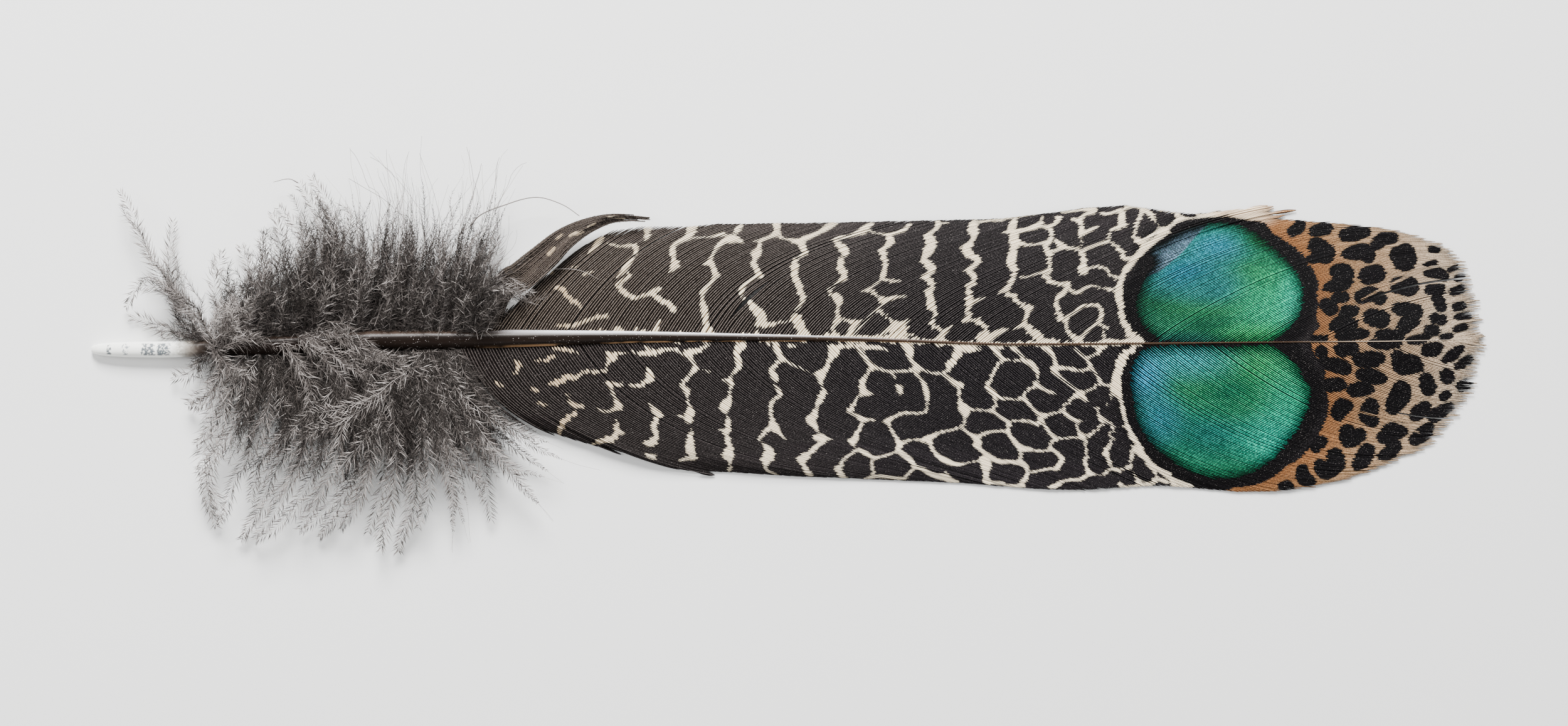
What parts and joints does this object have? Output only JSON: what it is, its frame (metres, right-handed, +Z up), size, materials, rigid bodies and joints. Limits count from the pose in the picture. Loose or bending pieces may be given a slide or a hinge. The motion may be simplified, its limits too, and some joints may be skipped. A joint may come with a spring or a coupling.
{
  "type": "peacock-pheasant tail feather",
  "caption": "Long tail feather with a clear quill end, downy base, netted dark vanes and a pair of blue-green eye spots before a spotted buff tip; lies flat as a natural prop.",
  "frame": {"origin": "middle of the feather's length and width, on the surface that it lies on", "axes": "+X from the cut end of the quill towards the tip, +Z up out of the feather's upper side"},
  "size_m": [0.2004, 0.0585, 0.0077],
  "materials": {
    "vane": "black-brown barbs with cream net lines, iridescent blue-green eye spots and a spotted buff tip",
    "quill": "glossy dark brown keratin, clear white at the calamus",
    "down": "grey-brown downy barbs with pale tips"
  },
  "bodies": {
    "root": {"feather": "vane"}
  },
  "joints": []
}
